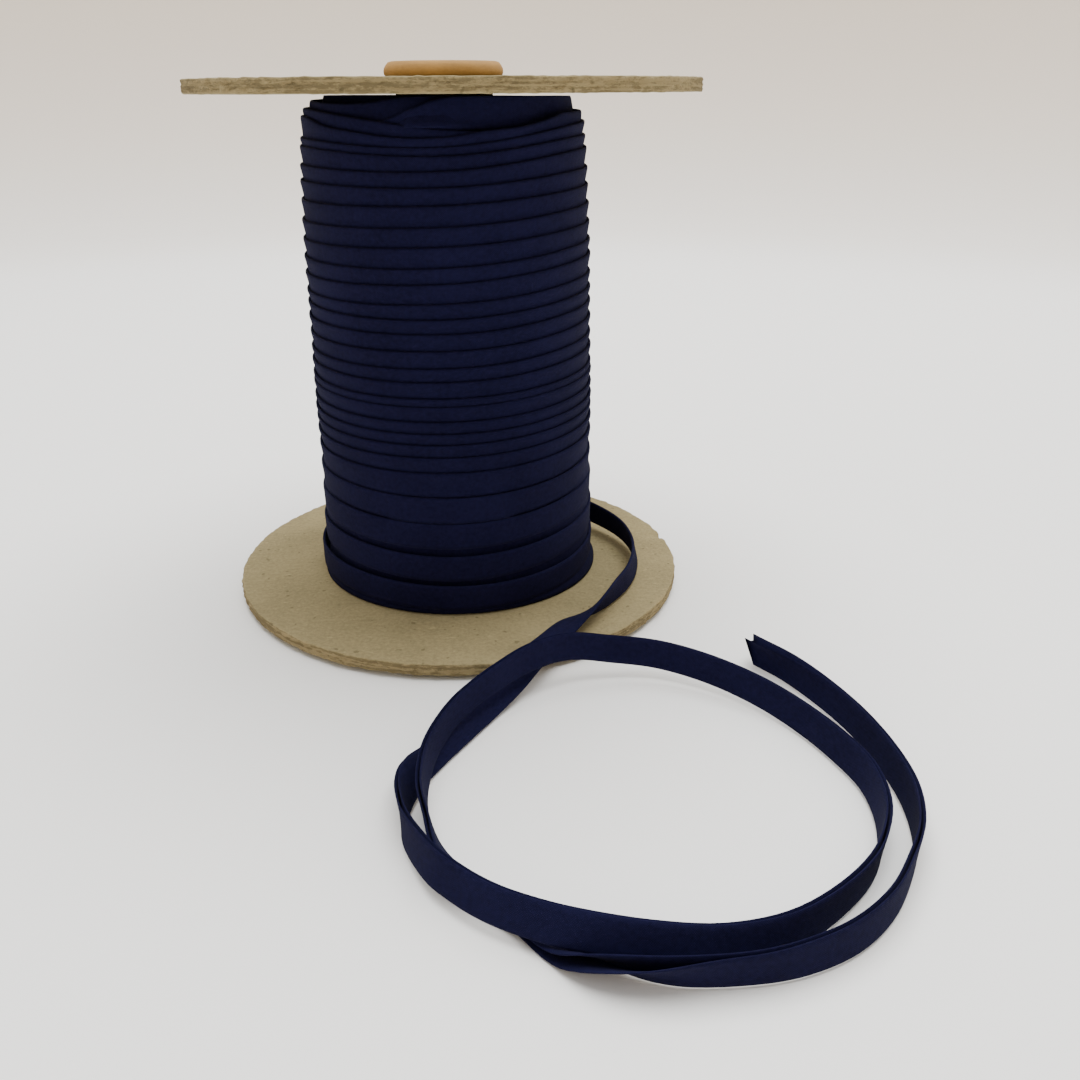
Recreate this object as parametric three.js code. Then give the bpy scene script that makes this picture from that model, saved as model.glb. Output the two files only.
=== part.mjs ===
// A roll of double-fold bias tape: a greyboard spool with a rolled paper core, its winding, and a loose tail.
// Millimetres, +Z up. The origin is on the spool's axis, on the plane that the core's lower lip rests on.
import * as THREE from 'three';
import { mergeVertices } from 'three/addons/utils/BufferGeometryUtils.js';

// Driving dimensions of the spool
const FLANGE_DIAMETER = 127;
const BOARD = 3.2;
const TRAVERSE = 128.8;
const LIP_DIAMETER = 29;
const LIP_PROUD_BELOW = 1.3;
const LIP_PROUD_ABOVE = 3.2;
const CORE_OUTSIDE = 24.4;
const CORE_WALL = 1.2;
const GAP = 0.3;

// How far the corners of the boards and of the core's lips are cut back
const BOARD_EDGE = 0.5;
const LIP_EDGE = 0.5;
const LIP_FOOT = 0.3;
const LIP_BULGE = 1.2;
const LIP_SHOULDER = 0.7;
const LIP_CROWN = 1.6;
const BORE_FOOT = 0.6;
const BORE_EDGE = 0.8;

// Driving dimensions of the tape
const TAPE_WIDTH = 7.1;
const FOLD_EDGE = 1.0;
const OPEN_EDGE = 1.7;

// Facets
const FLANGE_SIDES = 72;
const CORE_SIDES = 40;
const WINDING_SIDES = 36;
const STEPS_PER_ROW = 2;

// Heights that follow from the sizes above
const BOTTOM_FLANGE_Z = LIP_PROUD_BELOW;
const WINDING_FLOOR = BOTTOM_FLANGE_Z + BOARD;
const TOP_FLANGE_Z = WINDING_FLOOR + TRAVERSE;
const TOP_FACE = TOP_FLANGE_Z + BOARD;

// How far the last point of a turn lies inside the next turn's folded edge, and above it
const SHINGLE_STEP = 0.8;
const SHINGLE_RISE = 0.3;

// The turns from the top down, as they lie at the front of the roll:
// height of the folded edge above the bottom flange, and its radius.
// The tape winds down clockwise as seen from above, one row for each turn.
const TURNS = [
  [128.5, 33.4],
  [124.4, 34.6],
  [120.6, 35.3],
  [117.8, 35.8],
  [115.5, 36.1],
  [112.5, 36.3],
  [108.9, 36.6],
  [105.0, 36.8],
  [100.3, 37.2],
  [95.6, 37.5],
  [90.9, 37.7],
  [87.3, 37.8],
  [82.7, 37.9],
  [79.1, 38.0],
  [75.6, 38.0],
  [71.5, 38.1],
  [67.3, 38.1],
  [63.9, 38.2],
  [59.7, 38.4],
  [57.9, 38.4],
  [53.9, 38.5],
  [50.8, 38.5],
  [47.9, 38.5],
  [44.5, 38.5],
  [40.5, 38.5],
  [33.6, 38.3],
  [26.5, 38.5],
  [17.4, 38.8],
  [9.0, 38.9],
  [GAP, 38.4],
];

// The loose tail, one row for each section: the folded edge's x, y and z, and the tape's lean in degrees.
// At lean 0 the tape stands on its folded edge, and at 90 it lies flat to the left of its run.
// It leaves the winding at the back with its folded edge up, turns over on the flange, and runs once round a
// ring on the surface and once more outside it.
const TAIL = [
  [-16.2, 37.6, 13.9, -180],
  [2, 40.9, 14, -181],
  [20, 37, 13.9, -183],
  [33, 27.8, 13.8, -185],
  [41.9, 17.2, 13.7, -187],
  [48.4, 5.6, 13.2, -190],
  [50.5, -6, 12.7, -191],
  [49.3, -17, 12.4, -187],
  [46.2, -27, 12.4, -180],
  [41.5, -36, 12.3, -170],
  [37.5, -43.5, 11.6, -150],
  [34, -48.5, 10, -125],
  [29.5, -53.5, 7.7, -100],
  [24.5, -60, 6.5, -90],
  [19.5, -67, 5.6, -80],
  [13.5, -74.5, 2.9, -74],
  [7, -82, 1, -82],
  [1, -90.5, 0.9, -86],
  [-4.5, -98.5, 0.8, -80],
  [-9.5, -107, 0.6, -45],
  [-12.3, -115.5, 0.4, -15],
  [-12.7, -124, 0.9, 8],
  [-8.7, -135.3, 2.5, 20],
  [-4.4, -141, 2.7, 22],
  [0.9, -146, 2.7, 23],
  [7, -150, 2.7, 24],
  [16, -154.3, 2.9, 28],
  [29, -157.6, 2.9, 28],
  [42, -158.2, 2.3, 27],
  [54, -155.2, 1.6, 16],
  [65, -148.3, 0.8, 6],
  [74.5, -139, 0.4, 0],
  [80, -127, 0.4, -12],
  [81.5, -115.5, 0.5, -17],
  [79.5, -105.5, 0.5, -22],
  [75, -93.5, 0.5, -22],
  [68, -82.5, 1.1, -21],
  [58.5, -73.5, 2.1, -17],
  [47.5, -67.4, 3.1, -16],
  [36, -66, 4.5, -11],
  [25.5, -67.6, 6.7, -8],
  [16, -72.4, 7, -8],
  [7, -79, 5.6, -5],
  [-0.8, -87, 4, -6],
  [-5.4, -95.5, 3, -8],
  [-7.8, -104, 2.1, -12],
  [-8.6, -113, 0.7, -12],
  [-6.8, -122.3, 0.4, -14],
  [-2.2, -130.2, 0.5, -45],
  [4.9, -136.4, 0.8, -84],
  [12, -142.6, 0.8, -86],
  [18.1, -150.3, 0.7, -82],
  [24.3, -157.2, 0.5, -44],
  [33, -161.2, 0.4, -15],
  [45, -161.8, 0.4, -2],
  [55, -160.4, 0.4, 7],
  [65, -156.5, 0.4, 9],
  [73.6, -149.8, 0.4, 6],
  [80.2, -141.4, 0.4, 3],
  [85.3, -132, 0.4, -5],
  [87.9, -120.5, 0.5, -14],
  [88.1, -108.2, 0.5, -18],
  [86.6, -95.2, 0.5, -18],
  [83, -82.8, 0.5, -22],
  [78.2, -71.5, 0.5, -28],
  [73, -63.3, 0.5, -30],
];

const boardFinish = new THREE.MeshStandardMaterial({ color: 0xa99a78, roughness: 0.95, metalness: 0 });
const coreFinish = new THREE.MeshStandardMaterial({ color: 0xc09a5a, roughness: 0.85, metalness: 0 });
const tapeFinish = new THREE.MeshStandardMaterial({ color: 0x23284a, roughness: 0.9, metalness: 0 });

function named(name, geometry, material) {
  const mesh = new THREE.Mesh(geometry, material);
  mesh.name = name;
  return mesh;
}

// A turned ring from a closed profile of [radius, height] points
function ring(profile, sides) {
  const points = profile.map(([radius, height]) => new THREE.Vector2(radius, height));
  points.push(points[0].clone());
  return new THREE.LatheGeometry(points, sides).rotateX(Math.PI / 2);
}

// A closed shell from its triangles; a triangle with two corners in one place is left out
function shell(triangles) {
  const corners = triangles.filter(([a, b, c]) => !a.equals(b) && !b.equals(c) && !c.equals(a));
  const geometry = new THREE.BufferGeometry();
  const places = corners.flat().flatMap((corner) => corner.toArray());
  geometry.setAttribute('position', new THREE.Float32BufferAttribute(places, 3));
  const merged = mergeVertices(geometry);
  merged.computeVertexNormals();
  return merged;
}

function quad(a, b, c, d) {
  return [[a, b, c], [a, c, d]];
}

function flange() {
  const outside = FLANGE_DIAMETER / 2;
  const hole = CORE_OUTSIDE / 2 + GAP;
  return ring([
    [hole, 0],
    [outside - BOARD_EDGE, 0],
    [outside, BOARD_EDGE],
    [outside, BOARD - BOARD_EDGE],
    [outside - BOARD_EDGE, BOARD],
    [hole, BOARD],
  ], FLANGE_SIDES);
}

// The core is a paper tube whose ends are rolled outwards over the flanges
function core() {
  const lip = LIP_DIAMETER / 2;
  const outside = CORE_OUTSIDE / 2;
  const inside = outside - CORE_WALL;
  const top = TOP_FACE + LIP_PROUD_ABOVE;
  return ring([
    [inside, LIP_EDGE],
    [inside + BORE_FOOT, 0],
    [lip - LIP_EDGE, 0],
    [lip, LIP_EDGE],
    [lip, LIP_PROUD_BELOW - GAP],
    [outside, LIP_PROUD_BELOW - GAP],
    [outside, TOP_FACE + GAP],
    [lip - LIP_FOOT, TOP_FACE + GAP],
    [lip, TOP_FACE + LIP_BULGE],
    [lip - LIP_EDGE, top - LIP_SHOULDER],
    [lip - LIP_CROWN, top],
    [inside + BORE_EDGE, top],
    [inside, top - BORE_EDGE],
  ], CORE_SIDES);
}

// One point of the winding's skin: turn counts down along the tape, side counts clockwise from the front
function windingPoint(turn, side, inward, rise) {
  const last = TURNS.length - 1;
  const held = Math.min(Math.max(turn, 0), last);
  const row = Math.min(Math.floor(held), last - 1);
  const part = held - row;
  const height = THREE.MathUtils.lerp(TURNS[row][0], TURNS[row + 1][0], part);
  const radius = THREE.MathUtils.lerp(TURNS[row][1], TURNS[row + 1][1], part);
  const angle = -Math.PI / 2 - (2 * Math.PI * (side % WINDING_SIDES)) / WINDING_SIDES;
  const free = turn > 0 && turn < last;
  const r = free ? radius - inward : radius;
  const z = WINDING_FLOOR + height + (free ? rise : 0);
  return new THREE.Vector3(r * Math.cos(angle), r * Math.sin(angle), z);
}

function winding() {
  const triangles = [];
  const last = TURNS.length - 1;
  const bore = CORE_OUTSIDE / 2 + GAP;
  const boreAt = (side, height) => {
    const angle = -Math.PI / 2 - (2 * Math.PI * (side % WINDING_SIDES)) / WINDING_SIDES;
    return new THREE.Vector3(bore * Math.cos(angle), bore * Math.sin(angle), WINDING_FLOOR + height);
  };
  for (let side = 0; side < WINDING_SIDES; side += 1) {
    const here = side / WINDING_SIDES;
    const next = (side + 1) / WINDING_SIDES;
    for (let turn = -1; turn < last; turn += 1) {
      const edgeHere = windingPoint(turn + here, side, 0, 0);
      const edgeNext = windingPoint(turn + next, side + 1, 0, 0);
      const footHere = windingPoint(turn + 1 + here, side, SHINGLE_STEP, SHINGLE_RISE);
      const footNext = windingPoint(turn + 1 + next, side + 1, SHINGLE_STEP, SHINGLE_RISE);
      const belowHere = windingPoint(turn + 1 + here, side, 0, 0);
      const belowNext = windingPoint(turn + 1 + next, side + 1, 0, 0);
      triangles.push(...quad(edgeHere, edgeNext, footNext, footHere));
      triangles.push(...quad(footHere, footNext, belowNext, belowHere));
    }
    const topHere = windingPoint(0, side, 0, 0);
    const topNext = windingPoint(0, side + 1, 0, 0);
    const lowHere = windingPoint(last, side, 0, 0);
    const lowNext = windingPoint(last, side + 1, 0, 0);
    const boreTopHere = boreAt(side, TURNS[0][0]);
    const boreTopNext = boreAt(side + 1, TURNS[0][0]);
    const boreLowHere = boreAt(side, TURNS[last][0]);
    const boreLowNext = boreAt(side + 1, TURNS[last][0]);
    triangles.push(...quad(topHere, boreTopHere, boreTopNext, topNext));
    triangles.push(...quad(boreTopHere, boreLowHere, boreLowNext, boreTopNext));
    triangles.push(...quad(boreLowHere, lowHere, lowNext, boreLowNext));
  }
  return shell(triangles);
}

// A smooth run through the tail's rows, with the rows' lean carried along
function tailSections() {
  const value = (index, column) => {
    const lastRow = TAIL.length - 1;
    if (index < 0) return 2 * TAIL[0][column] - TAIL[1][column];
    if (index > lastRow) return 2 * TAIL[lastRow][column] - TAIL[lastRow - 1][column];
    return TAIL[index][column];
  };
  const sections = [];
  const steps = (TAIL.length - 1) * STEPS_PER_ROW;
  for (let step = 0; step <= steps; step += 1) {
    const row = Math.min(Math.floor(step / STEPS_PER_ROW), TAIL.length - 2);
    const t = step / STEPS_PER_ROW - row;
    sections.push([0, 1, 2, 3].map((column) => {
      const [a, b, c, d] = [-1, 0, 1, 2].map((offset) => value(row + offset, column));
      const bend = (2 * a - 5 * b + 4 * c - d) * t * t + (3 * b - a - 3 * c + d) * t * t * t;
      return 0.5 * (2 * b + (c - a) * t + bend);
    }));
  }
  return sections;
}

function tail() {
  const sections = tailSections();
  const edges = sections.map(([x, y, z, lean], i) => {
    const before = sections[Math.max(i - 1, 0)];
    const after = sections[Math.min(i + 1, sections.length - 1)];
    const run = new THREE.Vector3(after[0] - before[0], after[1] - before[1], 0).normalize();
    const angle = THREE.MathUtils.degToRad(lean);
    const across = new THREE.Vector3(-run.y * Math.sin(angle), run.x * Math.sin(angle), Math.cos(angle));
    const fold = new THREE.Vector3(x, y, z);
    return { fold, open: fold.clone().addScaledVector(across, TAPE_WIDTH), across };
  });
  const rings = edges.map(({ fold, open, across }, i) => {
    const before = edges[Math.max(i - 1, 0)];
    const after = edges[Math.min(i + 1, edges.length - 1)];
    const run = after.fold.clone().add(after.open).sub(before.fold).sub(before.open).normalize();
    const face = new THREE.Vector3().crossVectors(run, across).normalize();
    return [
      fold.clone().addScaledVector(face, -FOLD_EDGE / 2),
      open.clone().addScaledVector(face, -OPEN_EDGE / 2),
      open.clone().addScaledVector(face, OPEN_EDGE / 2),
      fold.clone().addScaledVector(face, FOLD_EDGE / 2),
    ];
  });
  const triangles = [];
  for (let i = 0; i + 1 < rings.length; i += 1) {
    for (let k = 0; k < 4; k += 1) {
      const m = (k + 1) % 4;
      triangles.push(...quad(rings[i][k], rings[i][m], rings[i + 1][m], rings[i + 1][k]));
    }
  }
  const [start, end] = [rings[0], rings[rings.length - 1]];
  triangles.push(...quad(start[0], start[3], start[2], start[1]));
  triangles.push(...quad(end[0], end[1], end[2], end[3]));
  return shell(triangles);
}

const roll = new THREE.Group();
const bottomFlange = named('bottom_flange', flange(), boardFinish);
bottomFlange.position.z = BOTTOM_FLANGE_Z;
const topFlange = named('top_flange', flange(), boardFinish);
topFlange.position.z = TOP_FLANGE_Z;
roll.add(bottomFlange);
roll.add(topFlange);
roll.add(named('core_tube', core(), coreFinish));
roll.add(named('winding', winding(), tapeFinish));
roll.add(named('tape_tail', tail(), tapeFinish));

export default roll;
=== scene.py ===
import math

import bmesh
import bpy
from bpy.props import FloatProperty, FloatVectorProperty, IntProperty, PointerProperty
from mathutils import Matrix, Vector, noise


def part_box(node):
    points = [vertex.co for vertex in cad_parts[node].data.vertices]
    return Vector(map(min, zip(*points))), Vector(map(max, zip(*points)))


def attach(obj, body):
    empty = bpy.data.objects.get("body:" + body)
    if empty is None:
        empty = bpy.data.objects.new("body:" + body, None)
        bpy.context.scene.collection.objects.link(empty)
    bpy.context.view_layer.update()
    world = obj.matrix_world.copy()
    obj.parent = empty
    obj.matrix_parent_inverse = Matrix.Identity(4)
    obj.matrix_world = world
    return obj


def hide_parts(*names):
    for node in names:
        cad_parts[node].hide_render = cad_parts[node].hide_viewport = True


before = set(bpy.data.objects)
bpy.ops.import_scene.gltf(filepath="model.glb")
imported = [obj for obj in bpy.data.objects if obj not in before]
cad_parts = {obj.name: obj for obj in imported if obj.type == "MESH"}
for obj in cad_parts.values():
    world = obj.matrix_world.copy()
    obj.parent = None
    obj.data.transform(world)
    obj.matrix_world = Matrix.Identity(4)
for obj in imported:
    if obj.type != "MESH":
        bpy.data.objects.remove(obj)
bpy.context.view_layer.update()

bl_info = {
    "name": "Bias Tape Roll",
    "version": (1, 0, 0),
    "blender": (4, 5, 0),
    "location": "View3D > Sidebar > Tape Roll",
    "description": "Builds a roll of double-fold bias tape on its greyboard spool",
    "category": "Add Mesh",
}

# The object is in metres, +Z up, and its origin is under the spool's axis.
BODY = "root"
BOARD_LOW, BOARD_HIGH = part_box("bottom_flange")
TOP_LOW, TOP_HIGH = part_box("top_flange")
CORE_LOW, CORE_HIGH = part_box("core_tube")
WINDING_FLOOR = BOARD_HIGH[2]

# The camera stands where it shows the spool as the photograph does.
CAMERA_PLACE = (0.0, -0.27936, 0.13372)
CAMERA_YAW = 0.0854
CAMERA_PITCH = 0.4193
CAMERA_ROLL = 0.0039
CAMERA_LENS = 33.70
SENSOR_WIDTH = 36.0

# The first turns, as (turn, height above the lower board, radius). A turn is a whole round, clockwise from
# above, counted from the front. The second one comes from under the top board at the right and dips at the
# front, and the third dips under the fourth at the right.
FIRST_TURNS = [
    (-0.70, 0.1272, 0.0312),
    (-0.30, 0.1276, 0.0322),
    (0.03, 0.1277, 0.0328),
    (0.088, 0.1263, 0.0333),
    (0.124, 0.1261, 0.0339),
    (0.20, 0.1265, 0.0330),
    (0.50, 0.1272, 0.0326),
    (0.80, 0.1279, 0.0324),
    (0.98, 0.1278, 0.0342),
    (1.007, 0.1272, 0.0350),
    (1.020, 0.1262, 0.0350),
    (1.040, 0.1248, 0.0349),
    (1.063, 0.1228, 0.0347),
    (1.12, 0.1222, 0.0345),
    (1.20, 0.1226, 0.0344),
    (1.50, 0.1226, 0.0344),
    (1.82, 0.1212, 0.0346),
    (1.90, 0.1205, 0.0349),
    (2.00, 0.1209, 0.0354),
    (2.04, 0.1218, 0.0354),
    (2.088, 0.1230, 0.0352),
    (2.139, 0.1241, 0.0350),
    (2.195, 0.1248, 0.0349),
    (2.50, 0.1250, 0.0349),
    (2.85, 0.1243, 0.0352),
    (2.866, 0.1235, 0.0354),
    (2.885, 0.1227, 0.0356),
    (2.917, 0.1215, 0.0360),
    (2.968, 0.1205, 0.0361),
    (2.985, 0.1197, 0.0361),
    (3.024, 0.1192, 0.0361),
    (3.063, 0.1195, 0.0360),
    (3.088, 0.1201, 0.0358),
    (3.142, 0.1213, 0.0356),
    (3.195, 0.1231, 0.0355),
    (3.50, 0.1228, 0.0356),
]
# The outer turns from the top down, one row for each turn: the height of the folded edge at the front above
# the lower board, how much higher it lies at the right and at the left, and the radius of its outer face.
TURNS = [
    (0.1174, 0.0044, 0.0008, 0.0361),
    (0.1155, 0.0034, 0.0009, 0.0364),
    (0.1123, 0.0036, -0.0002, 0.0367),
    (0.1088, 0.0025, -0.0003, 0.0370),
    (0.1049, 0.0022, -0.0009, 0.0372),
    (0.1002, 0.0024, -0.0011, 0.0375),
    (0.0958, 0.0023, -0.0013, 0.0377),
    (0.0911, 0.0025, -0.0010, 0.0379),
    (0.0874, 0.0026, -0.0014, 0.0380),
    (0.0828, 0.0024, -0.0012, 0.0381),
    (0.0791, 0.0023, -0.0005, 0.0381),
    (0.0756, 0.0022, -0.0006, 0.0382),
    (0.0715, 0.0021, -0.0007, 0.0382),
    (0.0673, 0.0020, -0.0007, 0.0383),
    (0.0639, 0.0018, -0.0006, 0.0384),
    (0.0598, 0.0014, -0.0003, 0.0385),
    (0.0578, 0.0014, -0.0004, 0.0386),
    (0.0539, 0.0014, -0.0004, 0.0386),
    (0.0508, 0.0013, -0.0004, 0.0387),
    (0.0479, 0.0013, -0.0005, 0.0387),
    (0.0446, 0.0013, -0.0006, 0.0387),
    (0.0405, 0.0013, -0.0006, 0.0386),
    (0.0337, 0.0018, 0.0002, 0.0386),
    (0.0265, 0.0022, 0.0004, 0.0387),
    (0.0174, 0.0024, 0.0008, 0.0391),
    (0.0089, 0.0012, 0.0005, 0.0393),
    (0.0000, 0.0, 0.0, 0.0393),
]
# The radius of the winding beneath the outer turns, at some heights above the lower board.
INNER_TURNS = [
    (0.0003, 0.0383),
    (0.0014, 0.0383),
    (0.0040, 0.0373),
    (0.0070, 0.0367),
    (0.0120, 0.0368),
    (0.0300, 0.0366),
    (0.0600, 0.0361),
    (0.0880, 0.0356),
    (0.1080, 0.0347),
    (0.1180, 0.0335),
    (0.1215, 0.0318),
    (0.1260, 0.0300),
    (0.1277, 0.0294),
]
# How far round from the front, in turns, the right and left heights lie, and the first row's turn
RIGHT_SHARE = -0.18
LEFT_SHARE = 0.195
FIRST_ROW_TURN = 4
# The winding leans a little to the left of the lower board, and the top board sits askew on it.
WINDING_LEAN = 0.0095
BOARD_TILT = 0.008
BOARD_DROP = 0.0004
LIP_RISE = 0.0003
LIP_SHIFT = 0.0007
BORE = 0.0125
# A bruised place on the rim of the lower board
NICK = (0.0625, 0.0106, 0.0044)

# The loose tail, one row for each section: the folded edge's x, y and z, and the tape's lean in degrees.
# At lean 0 the tape stands on its folded edge, and at 90 it lies flat to the left of its run.
TAIL = [
    (-0.0162, 0.0376, 0.0139, -180),
    (0.0020, 0.0409, 0.0140, -181),
    (0.0200, 0.0370, 0.0139, -183),
    (0.0330, 0.0278, 0.0138, -185),
    (0.0419, 0.0172, 0.0137, -187),
    (0.0484, 0.0056, 0.0132, -190),
    (0.0505, -0.0060, 0.0127, -191),
    (0.0493, -0.0170, 0.0124, -187),
    (0.0462, -0.0270, 0.0124, -180),
    (0.0415, -0.0360, 0.0123, -170),
    (0.0375, -0.0435, 0.0116, -150),
    (0.0340, -0.0485, 0.0100, -125),
    (0.0295, -0.0535, 0.0077, -100),
    (0.0245, -0.0600, 0.0065, -90),
    (0.0195, -0.0670, 0.0056, -80),
    (0.0135, -0.0745, 0.0029, -74),
    (0.0070, -0.0820, 0.0010, -82),
    (0.0010, -0.0905, 0.0009, -86),
    (-0.0045, -0.0985, 0.0008, -80),
    (-0.0095, -0.1070, 0.0006, -45),
    (-0.0123, -0.1155, 0.0004, -15),
    (-0.0127, -0.1240, 0.0009, 8),
    (-0.0087, -0.1353, 0.0025, 20),
    (-0.0044, -0.1410, 0.0027, 22),
    (0.0009, -0.1460, 0.0027, 23),
    (0.0070, -0.1500, 0.0027, 24),
    (0.0160, -0.1543, 0.0027, 28),
    (0.0290, -0.1576, 0.0021, 28),
    (0.0420, -0.1582, 0.0010, 27),
    (0.0540, -0.1552, 0.0006, 16),
    (0.0650, -0.1483, 0.0005, 6),
    (0.0745, -0.1390, 0.0004, 0),
    (0.0800, -0.1270, 0.0004, -12),
    (0.0815, -0.1155, 0.0005, -17),
    (0.0795, -0.1055, 0.0005, -22),
    (0.0750, -0.0935, 0.0005, -22),
    (0.0680, -0.0825, 0.0011, -21),
    (0.0585, -0.0735, 0.0021, -17),
    (0.0475, -0.0674, 0.0031, -16),
    (0.0360, -0.0660, 0.0045, -11),
    (0.0255, -0.0676, 0.0067, -8),
    (0.0160, -0.0724, 0.0070, -8),
    (0.0070, -0.0790, 0.0056, -5),
    (-0.0008, -0.0870, 0.0040, -6),
    (-0.0054, -0.0955, 0.0030, -8),
    (-0.0078, -0.1040, 0.0021, -12),
    (-0.0086, -0.1130, 0.0007, -12),
    (-0.0068, -0.1223, 0.0004, -14),
    (-0.0022, -0.1302, 0.0005, -45),
    (0.0049, -0.1364, 0.0008, -84),
    (0.0120, -0.1426, 0.0008, -86),
    (0.0181, -0.1502, 0.0007, -78),
    (0.0243, -0.1569, 0.0005, -32),
    (0.0330, -0.1608, 0.0004, -8),
    (0.0450, -0.1616, 0.0004, -1),
    (0.0550, -0.1604, 0.0004, 7),
    (0.0650, -0.1565, 0.0004, 9),
    (0.0736, -0.1498, 0.0004, 6),
    (0.0802, -0.1414, 0.0004, 3),
    (0.0853, -0.1320, 0.0004, -5),
    (0.0879, -0.1205, 0.0005, -14),
    (0.0881, -0.1082, 0.0005, -18),
    (0.0866, -0.0952, 0.0005, -18),
    (0.0830, -0.0828, 0.0005, -22),
    (0.0782, -0.0715, 0.0005, -28),
    (0.0730, -0.0633, 0.0005, -30),
]
# The tail's run comes off the last turn, whose round goes through this point.
BEFORE_TAIL = (-0.0289, 0.0290, 0.0138, -180)
# The cut end is slanted: how far the outer and inner leaf reach past the folded edge, and over what run.
CUT_REACH = (0.0043, 0.0034)
CUT_RUN = 0.014
# The leaves of the wound tape lie nearly closed. Where the tail twists up from under its first round, its
# front leaf parts from the other, most at one row and over some of the run on either side.
CLOSED = 0.00005
TWISTED_ROW = 52
TWIST_PARTING = 0.0019
TWIST_RUN = 0.020
# How many sections the tail has for each of its rows
TAIL_STEPS = 5


class RollSettings(bpy.types.PropertyGroup):
    tape_width: FloatProperty(
        name="Tape Width", description="Finished width of the folded tape", default=0.0071, unit="LENGTH"
    )
    leaf: FloatProperty(
        name="Leaf Thickness", description="Thickness of two layers of the cloth", default=0.00042,
        unit="LENGTH",
    )
    tail_slit: FloatProperty(
        name="Tail Slit", description="How far the tail's leaves part at their open edge", default=0.0005,
        unit="LENGTH",
    )
    end_slit: FloatProperty(
        name="End Slit", description="How far the leaves part at the cut end", default=0.0044, unit="LENGTH"
    )
    fanned: FloatProperty(
        name="Fanned Length", description="Length over which the cut end opens", default=0.030,
        unit="LENGTH",
    )
    shingle: FloatProperty(
        name="Turn Step", description="How far each folded edge stands proud of the turn above",
        default=0.00095, unit="LENGTH",
    )
    turn_steps: IntProperty(
        name="Steps per Turn", description="Sections in one turn of the tape", default=80, min=12
    )
    tape_colour: FloatVectorProperty(
        name="Tape Colour", description="Dyed cotton", default=(0.0056, 0.0056, 0.0225), subtype="COLOR"
    )
    board_colour: FloatVectorProperty(
        name="Board Colour", description="Greyboard", default=(0.272, 0.224, 0.118), subtype="COLOR"
    )
    kraft_colour: FloatVectorProperty(
        name="Core Colour", description="Kraft paper of the core", default=(0.36, 0.20, 0.058),
        subtype="COLOR",
    )
    floor_colour: FloatVectorProperty(
        name="Floor Colour", description="Pale surface under the roll", default=(0.92, 0.92, 0.91),
        subtype="COLOR",
    )


def settings():
    return bpy.context.scene.tape_roll


# Shader maths

class Value:
    """One output socket, whose sums and products add Math nodes."""

    def __init__(self, finish, socket):
        self.finish = finish
        self.socket = socket

    def maths(self, operation, *values):
        return self.finish.node("ShaderNodeMath", {"operation": operation}, dict(enumerate(values)))

    def __add__(self, other):
        return self.maths("ADD", self, other)

    def __sub__(self, other):
        return self.maths("SUBTRACT", self, other)

    def __rsub__(self, other):
        return self.maths("SUBTRACT", other, self)

    def __mul__(self, other):
        return self.maths("MULTIPLY", self, other)

    def __abs__(self):
        return self.maths("ABSOLUTE", self)

    __radd__ = __add__
    __rmul__ = __mul__

    def sine(self):
        return self.maths("SINE", self)

    def between(self, low, high):
        """0 below low, 1 above high, and smooth between them."""
        options = {"interpolation_type": "SMOOTHSTEP"}
        limits = {"Value": self, "From Min": low, "From Max": high}
        return self.finish.node("ShaderNodeMapRange", options, limits)


class Finish:
    """A material with one Principled shader, whose nodes are made by node()."""

    def __init__(self, name, roughness, sheen=0.0, specular=0.5):
        self.material = bpy.data.materials.new(name)
        self.material.use_nodes = True
        self.tree = self.material.node_tree
        self.shader = next(n for n in self.tree.nodes if n.type == "BSDF_PRINCIPLED")
        self.shader.inputs["Roughness"].default_value = roughness
        self.shader.inputs["Sheen Weight"].default_value = sheen
        self.shader.inputs["Specular IOR Level"].default_value = specular

    def node(self, kind, options=None, inputs=None, output=0):
        made = self.tree.nodes.new(kind)
        for key, value in (options or {}).items():
            setattr(made, key, value)
        for key, value in (inputs or {}).items():
            if isinstance(value, Value):
                self.tree.links.new(value.socket, made.inputs[key])
            else:
                made.inputs[key].default_value = value
        return Value(self, made.outputs[output])

    def object_place(self, stretch=(1.0, 1.0, 1.0)):
        place = self.node("ShaderNodeTexCoord", output="Object")
        return self.node("ShaderNodeMapping", None, {"Vector": place, "Scale": stretch})

    def cloth_place(self, stretch=(1.0, 1.0, 1.0)):
        place = self.node("ShaderNodeUVMap", {"uv_map": "cloth"})
        return self.node("ShaderNodeMapping", None, {"Vector": place, "Scale": stretch})

    def grain(self, place, scale, detail=3.0, roughness=0.55):
        inputs = {"Vector": place, "Scale": scale, "Detail": detail, "Roughness": roughness}
        return self.node("ShaderNodeTexNoise", None, inputs)

    def blend(self, share, first, second):
        sockets = {0: share, 6: first, 7: second}
        return self.node("ShaderNodeMix", {"data_type": "RGBA"}, sockets, output=2)

    def feed(self, name, value):
        self.tree.links.new(value.socket, self.shader.inputs[name])

    def bump(self, height, distance, strength=1.0):
        inputs = {"Height": height, "Distance": distance, "Strength": strength}
        return self.node("ShaderNodeBump", None, inputs)

    def vector_maths(self, operation, inputs, output=0):
        return self.node("ShaderNodeVectorMath", {"operation": operation}, inputs, output)


def tinted(colour, factor):
    return tuple(min(1.0, c * factor) for c in colour) + (1.0,)


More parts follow.
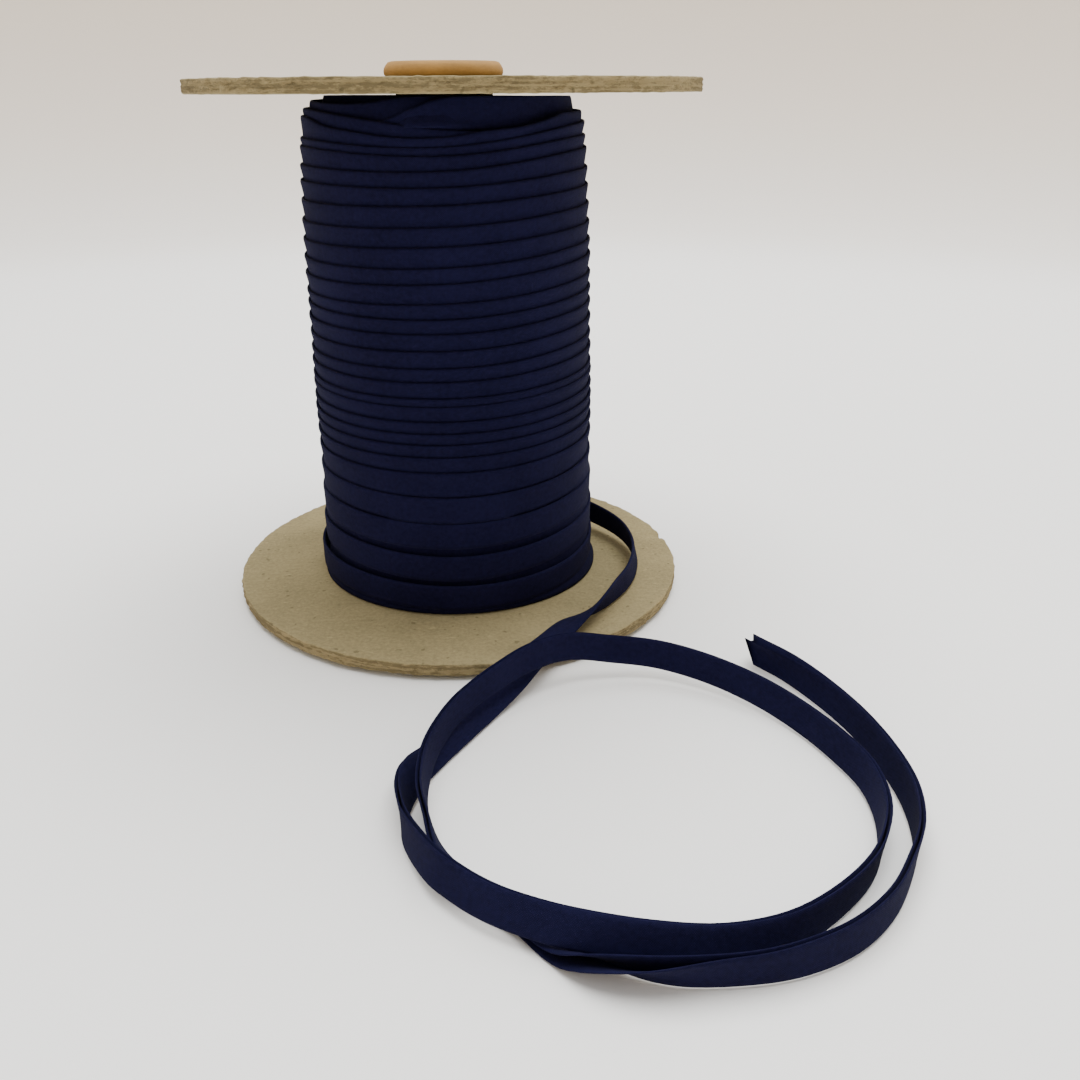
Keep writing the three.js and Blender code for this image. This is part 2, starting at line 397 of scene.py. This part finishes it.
def tape_finish():
    """Plain-woven cotton cut on the bias: its threads cross the tape at 45 degrees."""
    found = bpy.data.materials.get("bias_cotton")
    if found:
        return found
    thread = 0.00030
    cloth = Finish("bias_cotton", roughness=0.88, sheen=0.012, specular=0.03)
    place = {"Vector": cloth.cloth_place()}
    along = cloth.node("ShaderNodeSeparateXYZ", None, place, output="X")
    across = cloth.node("ShaderNodeSeparateXYZ", None, place, output="Y")
    turn = math.pi / (thread * math.sqrt(2))
    warp = ((along + across) * turn).sine()
    weft = ((along - across) * turn).sine()
    over = (warp * weft) * 0.5 + 0.5
    weave = abs(warp) * over + abs(weft) * (1 - over)
    slub = cloth.grain(cloth.cloth_place((900, 900, 900)), 1.0, 3.0, 0.6)
    wear = cloth.grain(cloth.object_place(), 45, 4.0, 0.6)
    colour = settings().tape_colour
    tone = (weave * 0.45 + slub * 0.6 + wear * 0.5).between(0.35, 1.15)
    cloth.feed("Base Color", cloth.blend(tone, tinted(colour, 0.5), tinted(colour, 1.6)))
    cloth.feed("Normal", cloth.bump(weave * 0.7 + slub * 0.8, 0.00009, 0.8))
    return cloth.material


def board_finish():
    """Greyboard: felted waste paper with pale and dark fibres, in layers at its cut edge."""
    found = bpy.data.materials.get("greyboard")
    if found:
        return found
    board = Finish("greyboard", roughness=0.95, sheen=0.02, specular=0.08)
    cloud = board.grain(board.object_place(), 55, 5.0, 0.62)
    felt = board.grain(board.object_place(), 900, 4.0, 0.7)
    fibres = board.grain(board.object_place((1, 1, 3.0)), 430, 4.0, 0.8)
    layers = board.grain(board.object_place((40, 40, 1500)), 1.0, 3.0, 0.6)
    upright = board.node("ShaderNodeNewGeometry", output="Normal")
    height = board.node("ShaderNodeSeparateXYZ", None, {"Vector": upright}, output="Z")
    edge = 1 - abs(height).between(0.35, 0.85)
    colour = settings().board_colour
    tone = (cloud * 0.5 + felt * 0.7 + (layers + fibres - 1) * edge * 3.0).between(0.30, 0.92)
    paper = board.blend(tone, tinted(colour, 0.72), tinted(colour, 1.22))
    browned = board.vector_maths("MULTIPLY", {0: paper, 1: (0.92, 0.88, 0.85)})
    paper = board.blend(edge, paper, browned)
    dark_flecks = board.grain(board.object_place(), 420, 1.0, 0.5).between(0.70, 0.75)
    pale_flecks = board.grain(board.object_place((1, 1.7, 1)), 330, 2.0, 0.5).between(0.68, 0.74)
    flecked = board.blend(dark_flecks * 0.6, paper, tinted(colour, 0.40))
    flecked = board.blend(pale_flecks * 0.4, flecked, tinted(colour, 1.5))
    board.feed("Base Color", flecked)
    relief = felt * 0.6 + fibres * (0.3 + edge * 2.6) + layers * edge * 1.2
    board.feed("Normal", board.bump(relief, 0.00030, 0.8))
    return board.material


def kraft_finish():
    """Kraft paper rolled into a tube: smooth golden tan, with fine fibres."""
    found = bpy.data.materials.get("kraft_core")
    if found:
        return found
    kraft = Finish("kraft_core", roughness=0.74, sheen=0.0, specular=0.2)
    cloud = kraft.grain(kraft.object_place(), 130, 5.0, 0.65)
    fibre = kraft.grain(kraft.object_place((1, 1, 2.5)), 800, 4.0, 0.7)
    wrap = kraft.grain(kraft.object_place((60, 60, 900)), 1.0, 2.0, 0.5)
    colour = settings().kraft_colour
    tone = (cloud * 0.6 + fibre * 0.35 + wrap * 0.25).between(0.3, 0.9)
    kraft.feed("Base Color", kraft.blend(tone, tinted(colour, 0.72), tinted(colour, 1.22)))
    kraft.feed("Roughness", 0.62 + fibre * 0.22)
    kraft.feed("Normal", kraft.bump(cloud * 0.5 + fibre * 0.5 + wrap * 0.4, 0.00016, 0.6))
    return kraft.material


def floor_finish():
    """A pale surface with painted shade: its colour darkens to a warm beige towards the far wall, where
    less light falls.
    """
    stage = Finish("pale_surface", roughness=0.62, specular=0.3)
    where = stage.object_place()
    # Painted shade: with distance from the middle, the floor's colour goes over to a darker warm beige.
    far = stage.vector_maths("LENGTH", {0: where}, output="Value").between(0.55, 1.3)
    cloud = stage.grain(where, 3.0, 2.0, 0.5)
    colour = settings().floor_colour
    near_tone = stage.blend(cloud, tinted(colour, 0.985), tinted(colour, 1.01))
    stage.feed("Base Color", stage.blend(far, near_tone, (0.53, 0.45, 0.36, 1.0)))
    return stage.material


# Meshes

def added(name, data):
    made = bpy.data.objects.new(name, data)
    bpy.context.scene.collection.objects.link(made)
    return made


def smooth_object(name, bm, material):
    """A smooth mesh object made from the bmesh."""
    bmesh.ops.recalc_face_normals(bm, faces=bm.faces)
    mesh = bpy.data.meshes.new(name)
    bm.to_mesh(mesh)
    bm.free()
    mesh.polygons.foreach_set("use_smooth", [True] * len(mesh.polygons))
    mesh.materials.append(material)
    return added(name, mesh)


def finished(name, bm, material, slot, *nodes):
    """A smooth object that rides on the spool and stands for the CAD nodes."""
    piece = smooth_object(name, bm, material)
    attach(piece, BODY)
    if nodes:
        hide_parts(*nodes)
    return piece


def turned(profile, steps, closed=True):
    """A profile of (radius, height) points spun round the Z axis. A closed one makes a ring."""
    bm = bmesh.new()
    points = [bm.verts.new((radius, 0.0, height)) for radius, height in profile]
    after = points[1:] + points[:1] if closed else points[1:]
    edges = [bm.edges.new((a, b)) for a, b in zip(points, after)]
    bmesh.ops.spin(
        bm, geom=points + edges, cent=(0, 0, 0), axis=(0, 0, 1), angle=2 * math.pi, steps=steps,
        use_merge=True,
    )
    bmesh.ops.remove_doubles(bm, verts=bm.verts, dist=1e-6)
    return bm


def polar(vert):
    return math.hypot(vert.co.x, vert.co.y), math.atan2(vert.co.y, vert.co.x)


def smooth_value(rows, place):
    """A smooth run through (place, value, value, ...) rows, whose places may lie unevenly."""
    index = next((i for i, row in enumerate(rows) if row[0] > place), len(rows)) - 1
    index = max(0, min(index, len(rows) - 2))

    def slope(i, column):
        low = rows[max(i - 1, 0)]
        high = rows[min(i + 1, len(rows) - 1)]
        return (high[column] - low[column]) / (high[0] - low[0])

    start, end = rows[index], rows[index + 1]
    span = end[0] - start[0]
    t = (place - start[0]) / span
    values = []
    for column in range(1, len(start)):
        a, b = start[column], end[column]
        bend = (t - 2 * t * t + t ** 3) * slope(index, column) + (t ** 3 - t * t) * slope(index + 1, column)
        values.append(a * (1 - 3 * t * t + 2 * t ** 3) + b * (3 * t * t - 2 * t ** 3) + bend * span)
    return values


# The folded tape

def tape_section(parting):
    """The outline of the folded tape as (across, out) points. Its two leaves part at the open edge, the
    outer one by the first number of parting and the inner one by the second."""
    width, leaf = settings().tape_width, settings().leaf
    root = 0.0012
    outer = [
        (0.00003, 0.30),
        (0.00022, 0.80),
        (0.00070, 1.06),
        (0.0020, 1.00),
        (0.0042, 0.99),
        (0.0060, 1.05),
        (width - 0.00014, 0.90),
    ]
    inner = [(width, 0.5), (width - 0.00014, 0.10), (0.0055, 0.02), (0.0032, 0.02)]

    def leaf_side(side, most):
        points = []
        for across, share in outer + inner:
            opening = max(0.0, (across - root) / (width - root)) ** 1.4
            parted = most * opening
            reach = across * math.sqrt(1 - (parted / width) ** 2)
            points.append((reach, side * (share * leaf + parted)))
        return points

    return leaf_side(1, parting[0]) + [(root, 0.0)] + leaf_side(-1, parting[1])[::-1]


def folded_strip(name, sections, parting_at, *nodes):
    """The tape swept through (place, across, out, run, cut) sections. parting_at gives how far the leaves
    part at a run, and cut how far the outer and inner leaf's open edges reach on along the tape."""
    bm = bmesh.new()
    cloth = bm.loops.layers.uv.new("cloth")
    width = settings().tape_width
    outlines = []
    for place, across, out, run, cut in sections:
        along = across.cross(out)
        ring = []
        for a, b in tape_section(parting_at(run)):
            reach = cut[0] if b > 0 else cut[1]
            ring.append(bm.verts.new(place + across * a + out * b + along * reach * a / width))
        outlines.append((ring, run))
    flat = tape_section(parting_at(0.0))
    girth = [0.0]
    for (a, b), (c, d) in zip(flat, flat[1:] + flat[:1]):
        girth.append(girth[-1] + math.hypot(c - a, d - b))
    count = len(flat)
    for (ring, run), (later, later_run) in zip(outlines, outlines[1:]):
        for i in range(count):
            j = (i + 1) % count
            face = bm.faces.new((ring[i], ring[j], later[j], later[i]))
            near, far = girth[i], girth[i + 1]
            places = [(run, near), (run, far), (later_run, far), (later_run, near)]
            for loop, uv in zip(face.loops, places):
                loop[cloth].uv = uv
    for ring in (outlines[0][0], outlines[-1][0]):
        cap = bm.faces.new(ring)
        for loop, (a, b) in zip(cap.loops, flat):
            loop[cloth].uv = (a, b)
        bmesh.ops.triangulate(bm, faces=[cap])
    return finished(name, bm, tape_finish(), "tape", *nodes)


def turn_rows():
    """The turns' rows as (turn, height, radius), with the right and left heights in their places."""
    rows = list(FIRST_TURNS)
    for index, (height, right, left, radius) in enumerate(TURNS):
        turn = index + FIRST_ROW_TURN
        before = TURNS[max(index - 1, 0)][3]
        after = TURNS[min(index + 1, len(TURNS) - 1)][3]
        rows.append((turn + RIGHT_SHARE, height + right, radius + (before - radius) * 0.18))
        rows.append((turn, height, radius))
        if index < len(TURNS) - 1:
            rows.append((turn + LEFT_SHARE, height + left, radius + (after - radius) * 0.2))
    return rows


def tail_start_turn():
    """The turn, counted from the top, at which the tail leaves the winding."""
    x, y = TAIL[0][0], TAIL[0][1]
    round_from_front = (-math.pi / 2 - math.atan2(y, x)) % (2 * math.pi)
    return len(TURNS) + FIRST_ROW_TURN - 2 + round_from_front / (2 * math.pi)


def wound_sections():
    """The sections of the outer turns, from under the top board to where the tail leaves."""
    chosen = settings()
    rows = turn_rows()
    last = tail_start_turn()
    width, leaf = chosen.tape_width, chosen.leaf
    free = Vector(TAIL[0][:3])
    free_radius = math.hypot(free.x, free.y)
    first = rows[0][0]
    steps = int((last - first) * chosen.turn_steps)
    sections, run, before = [], 0.0, None
    for step in range(steps + 1):
        turn = first + (last - first) * step / steps
        angle = -math.pi / 2 - 2 * math.pi * turn
        height, radius = smooth_value(rows, turn)
        under, under_radius = smooth_value(rows, min(turn + 1, rows[-1][0]))
        spacing = height - under
        wander = noise.noise(Vector((turn * 9.0, 4.0, 0.0))) * 0.00010
        radius += noise.noise(Vector((turn * 7.0, 0.0, 0.0))) * 0.00012
        centre = radius - leaf
        loose = smooth_share(turn, last - 0.45, last)
        if spacing < width:
            lean = math.atan2(radius - under_radius + chosen.shingle, max(spacing, 0.0022))
            lean = max(-0.45, min(lean, 0.30))
        else:
            lean = 0.04
        lean *= 1 - loose
        centre += (free_radius - centre) * loose
        height += (free.z - WINDING_FLOOR - height) * loose + wander * (1 - loose)
        outward = Vector((math.cos(angle), math.sin(angle), 0.0))
        across = -math.cos(lean) * Vector((0, 0, 1)) - math.sin(lean) * outward
        out = math.cos(lean) * outward - math.sin(lean) * Vector((0, 0, 1))
        place = outward * centre + Vector((0, 0, WINDING_FLOOR + height))
        place.x -= WINDING_LEAN * height * (1 - loose)
        if before is not None:
            run += (place - before).length
        before = place
        sections.append((place, across, out, run, (0.0, 0.0)))
    return sections


def smooth_share(value, low, high):
    t = max(0.0, min(1.0, (value - low) / (high - low)))
    return t * t * (3 - 2 * t)


def tail_line(steps):
    """Points of (x, y, z, lean) along the tail, smooth through its rows, with the row each belongs to."""
    rows = [BEFORE_TAIL] + TAIL + [tuple(2 * b - a for a, b in zip(TAIL[-2], TAIL[-1]))]
    points = []
    for row in range(1, len(rows) - 2):
        for step in range(steps):
            t = step / steps
            values = []
            for a, b, c, d in zip(*rows[row - 1:row + 3]):
                bend = (2 * a - 5 * b + 4 * c - d) * t * t + (3 * b - a - 3 * c + d) * t ** 3
                values.append(0.5 * (2 * b + (c - a) * t + bend))
            points.append(values)
    points.append(list(TAIL[-1]))
    return points


def tail_sections():
    width = settings().tape_width
    points = tail_line(TAIL_STEPS)
    edges = []
    for i, (x, y, z, lean) in enumerate(points):
        before = points[max(i - 1, 0)]
        after = points[min(i + 1, len(points) - 1)]
        run = Vector((after[0] - before[0], after[1] - before[1], 0.0)).normalized()
        angle = math.radians(lean)
        left = Vector((-run.y, run.x, 0.0))
        across = math.cos(angle) * Vector((0, 0, 1)) + math.sin(angle) * left
        edges.append((Vector((x, y, z)), across))
    sections, length = [], 0.0
    for i, (fold, across) in enumerate(edges):
        low, high = edges[max(i - 1, 0)], edges[min(i + 1, len(edges) - 1)]
        run = (high[0] + high[1] * width / 2) - (low[0] + low[1] * width / 2)
        out = run.cross(across).normalized()
        if i > 0:
            length += (fold - edges[i - 1][0]).length
        sections.append([fold, across, out, length, (0.0, 0.0)])
    for section in sections:
        near = smooth_share(section[3], length - CUT_RUN, length)
        section[4] = tuple(reach * near for reach in CUT_REACH)
    return sections


# The pieces

def askew(vert, drop=0.0):
    """Tilts a point of the top board or the top lip, and lowers it by drop."""
    vert.co.z += BOARD_TILT * vert.co.x - drop


def make_boards():
    for name, node, low, high, grown in (
        ("bottom_board", "bottom_flange", BOARD_LOW, BOARD_HIGH, 0.0006),
        ("top_board", "top_flange", TOP_LOW, TOP_HIGH, 0.0),
    ):
        thick = high[2] - low[2]
        face = [BORE, 0.02, 0.032, 0.044, 0.054, 0.0595, 0.0618, 0.0628]
        edge = [(0.0, 0.0633), (0.05, 0.0635), (0.2, 0.0636), (0.35, 0.0634), (0.5, 0.0637), (0.65, 0.0634)]
        edge += [(0.8, 0.0636), (0.95, 0.0635), (1.0, 0.0632)]
        profile = [(r, low[2]) for r in face] + [(r, low[2] + share * thick) for share, r in edge]
        profile += [(r, high[2]) for r in reversed(face)]
        bm = turned(profile, 288)
        for vert in bm.verts:
            r, angle = polar(vert)
            if r < 0.0622:
                sway = noise.noise(Vector((vert.co.x * 38, vert.co.y * 38, low[2] * 90)))
                vert.co.z += sway * 0.00012 * smooth_share(r, 0.02, 0.06)
                continue
            at = Vector((math.cos(angle), math.sin(angle), 0.0))
            ragged = noise.noise(at * 34 + Vector((0, 0, vert.co.z * 1700)))
            ragged += 0.6 * noise.noise(at * 92 + Vector((0, 0, vert.co.z * 2600)))
            burr = noise.noise(at * 22 + Vector((0, 0, low[2] * 300)))
            vert.co += at * (grown + ragged * 0.00034 + min(0.0, burr) * 0.0002)
            vert.co.z += noise.noise(at * 60 + Vector((5, 0, vert.co.z * 900))) * 0.00020
        for vert in bm.verts:
            if node == "top_flange":
                askew(vert, BOARD_DROP)
            else:
                bruise = 1 - smooth_share((vert.co - Vector(NICK)).length, 0.0006, 0.0030)
                vert.co -= Vector((0.0004, 0.0, 0.0009)) * bruise
        finished(name, bm, board_finish(), "board", node)


def make_core():
    lip = CORE_HIGH[0]
    wide = lip + 0.0004
    top = CORE_HIGH[2] + LIP_RISE
    bore = 0.0110
    shank = 0.0122
    under_top = TOP_HIGH[2] + 0.0001
    profile = [
        (bore, 0.0006),
        (bore + 0.0003, 0.0001),
        (bore + 0.0008, 0.0),
        (lip - 0.0009, 0.0),
        (lip - 0.0003, 0.0002),
        (lip, 0.0006),
        (lip - 0.0002, BOARD_LOW[2] - 0.0001),
        (shank, BOARD_LOW[2] - 0.0001),
        (shank, under_top),
        (wide - 0.0006, under_top),
        (wide - 0.0001, under_top + 0.0004),
        (wide, under_top + 0.0011),
        (wide - 0.0001, under_top + 0.0018),
        (wide - 0.0005, under_top + 0.0025),
        (wide - 0.0011, top - 0.0002),
        (wide - 0.0018, top),
        (bore + 0.0007, top - 0.0001),
        (bore + 0.0001, top - 0.0006),
        (bore, top - 0.0014),
    ]
    bm = turned(profile, 144)
    for vert in bm.verts:
        r, angle = polar(vert)
        if r > shank + 0.0002 and vert.co.z > under_top:
            at = Vector((math.cos(angle), math.sin(angle), 0.0))
            dent = noise.noise(at * 3.5 + Vector((0, 0, vert.co.z * 200)))
            vert.co += at * dent * 0.00012
        if vert.co.z > TOP_LOW[2]:
            askew(vert)
            vert.co.x -= LIP_SHIFT
    finished("paper_core", bm, kraft_finish(), "core", "core_tube")


def make_inner_winding():
    """The turns beneath the outer ones, which show only in the dark gaps between them."""
    profile = [(BORE, WINDING_FLOOR + 0.0003)]
    for height, radius in INNER_TURNS:
        profile.append((radius, WINDING_FLOOR + height))
    profile.append((BORE, profile[-1][1]))
    bm = turned(profile, 96)
    cloth = bm.loops.layers.uv.new("cloth")
    for vert in bm.verts:
        r, angle = polar(vert)
        low = 1 - smooth_share(vert.co.z, 0.034, 0.050)
        if r > BORE + 0.001:
            swell = 1 + 0.046 * low * math.cos(angle) ** 2
            vert.co *= Vector((swell, swell, 1))
        vert.co.x -= WINDING_LEAN * (vert.co.z - WINDING_FLOOR)
    for face in bm.faces:
        for loop in face.loops:
            r, angle = polar(loop.vert)
            loop[cloth].uv = (angle * 0.037, loop.vert.co.z + r)
    finished("inner_winding", bm, tape_finish(), "tape", "winding")


def make_outer_turns():
    folded_strip("outer_turns", wound_sections(), lambda run: (CLOSED, CLOSED), "winding")


def make_tail():
    chosen = settings()
    sections = tail_sections()
    length = sections[-1][3]

    twisted_at = sections[TWISTED_ROW * TAIL_STEPS][3]

    def parting_at(run):
        loose = CLOSED + (chosen.tail_slit / 2 - CLOSED) * smooth_share(run, 0.0, 0.06)
        fan = smooth_share(run, length - chosen.fanned, length)
        twist = 1 - smooth_share(abs(run - twisted_at), 0.001, TWIST_RUN)
        return loose + 0.0002 * fan + TWIST_PARTING * twist, loose + (chosen.end_slit - loose) * fan

    tail = folded_strip("loose_tail", sections, parting_at, "tape_tail")
    line = [fold + across * chosen.tape_width / 2 for fold, across, _, _, _ in sections]
    measured = sum((b - a).length for a, b in zip(line, line[1:]))


def make_camera():
    lens = bpy.data.cameras.new("camera")
    lens.lens = CAMERA_LENS
    lens.sensor_width = SENSOR_WIDTH
    lens.clip_start = 0.01
    camera = added("camera", lens)
    yaw, pitch = CAMERA_YAW, CAMERA_PITCH
    ahead = Vector((math.sin(yaw) * math.cos(pitch), math.cos(yaw) * math.cos(pitch), -math.sin(pitch)))
    level = Vector((math.cos(yaw), -math.sin(yaw), 0.0))
    above = level.cross(ahead)
    right = level * math.cos(CAMERA_ROLL) + above * math.sin(CAMERA_ROLL)
    up = above * math.cos(CAMERA_ROLL) - level * math.sin(CAMERA_ROLL)
    turned_to = Matrix((right, up, -ahead)).transposed().to_4x4()
    camera.matrix_world = Matrix.Translation(CAMERA_PLACE) @ turned_to
    bpy.context.scene.camera = camera


def area_light(name, place, target, size, power, colour):
    data = bpy.data.lights.new(name, "AREA")
    data.shape = "DISK"
    data.size = size
    data.energy = power
    data.color = colour
    light = added(name, data)
    light.location = place
    light.rotation_euler = (Vector(target) - Vector(place)).to_track_quat("-Z", "Y").to_euler()


def make_stage():
    """A pale floor that curves up all round, a broad soft light overhead, and a window behind the roll."""
    reach, curve, wall = 0.75, 0.45, 0.75
    profile = [(0.0, 0.0), (reach, 0.0)]
    for step in range(1, 13):
        angle = math.pi / 2 * step / 12
        profile.append((reach + curve * math.sin(angle), curve * (1 - math.cos(angle))))
    profile.append((reach + curve, wall))
    floor = smooth_object("floor", turned(profile, 96, closed=False), floor_finish())
    world = bpy.data.worlds.new("room")
    bpy.context.scene.world = world
    world.use_nodes = True
    sky = world.node_tree.nodes["Background"]
    sky.inputs["Color"].default_value = (0.93, 0.96, 1.0, 1.0)
    sky.inputs["Strength"].default_value = 0.75
    middle = (0.0, -0.03, 0.05)
    area_light("overhead", (0.08, 0.25, 1.35), middle, 1.6, 40.0, (1.0, 1.0, 0.99))
    area_light("window", (0.85, 0.45, 0.8), middle, 0.6, 2.0, (1.0, 0.98, 0.95))


# The add-on

class TAPEROLL_OT_camera(bpy.types.Operator):
    """Add the camera at the photograph's viewing angle"""

    bl_idname = "tape_roll.camera"
    bl_label = "Camera"

    def execute(self, context):
        make_camera()
        return {"FINISHED"}


class TAPEROLL_OT_tail(bpy.types.Operator):
    """Add the loose tail of the tape, from the winding to its cut end"""

    bl_idname = "tape_roll.tail"
    bl_label = "Loose Tail"

    def execute(self, context):
        make_tail()
        return {"FINISHED"}


class TAPEROLL_OT_boards(bpy.types.Operator):
    """Add the two greyboard flanges"""

    bl_idname = "tape_roll.boards"
    bl_label = "Boards"

    def execute(self, context):
        make_boards()
        return {"FINISHED"}


class TAPEROLL_OT_core(bpy.types.Operator):
    """Add the paper core with its rolled lips"""

    bl_idname = "tape_roll.core"
    bl_label = "Paper Core"

    def execute(self, context):
        make_core()
        return {"FINISHED"}


class TAPEROLL_OT_inner_winding(bpy.types.Operator):
    """Add the body of the winding under the outer turns"""

    bl_idname = "tape_roll.inner_winding"
    bl_label = "Inner Winding"

    def execute(self, context):
        make_inner_winding()
        return {"FINISHED"}


class TAPEROLL_OT_outer_turns(bpy.types.Operator):
    """Add the outer turns of the folded tape"""

    bl_idname = "tape_roll.outer_turns"
    bl_label = "Outer Turns"

    def execute(self, context):
        make_outer_turns()
        return {"FINISHED"}


class TAPEROLL_OT_stage(bpy.types.Operator):
    """Add the floor, the lights and the world"""

    bl_idname = "tape_roll.stage"
    bl_label = "Stage"

    def execute(self, context):
        make_stage()
        return {"FINISHED"}


OPERATORS = (
    TAPEROLL_OT_camera,
    TAPEROLL_OT_tail,
    TAPEROLL_OT_boards,
    TAPEROLL_OT_core,
    TAPEROLL_OT_inner_winding,
    TAPEROLL_OT_outer_turns,
    TAPEROLL_OT_stage,
)


class TAPEROLL_PT_sidebar(bpy.types.Panel):
    bl_idname = "TAPEROLL_PT_sidebar"
    bl_label = "Bias Tape Roll"
    bl_space_type = "VIEW_3D"
    bl_region_type = "UI"
    bl_category = "Tape Roll"

    def draw(self, context):
        for name in RollSettings.__annotations__:
            self.layout.prop(context.scene.tape_roll, name)
        for operator in OPERATORS:
            self.layout.operator(operator.bl_idname)


CLASSES = (RollSettings, *OPERATORS, TAPEROLL_PT_sidebar)


def register():
    for made in CLASSES:
        bpy.utils.register_class(made)
    bpy.types.Scene.tape_roll = PointerProperty(type=RollSettings)


def unregister():
    del bpy.types.Scene.tape_roll
    for made in reversed(CLASSES):
        bpy.utils.unregister_class(made)


def main():
    register()
    bpy.ops.tape_roll.camera()
    bpy.ops.tape_roll.tail()
    bpy.ops.tape_roll.boards()
    bpy.ops.tape_roll.core()
    bpy.ops.tape_roll.inner_winding()
    bpy.ops.tape_roll.outer_turns()
    bpy.ops.tape_roll.stage()


if __name__ == "__main__":
    main()
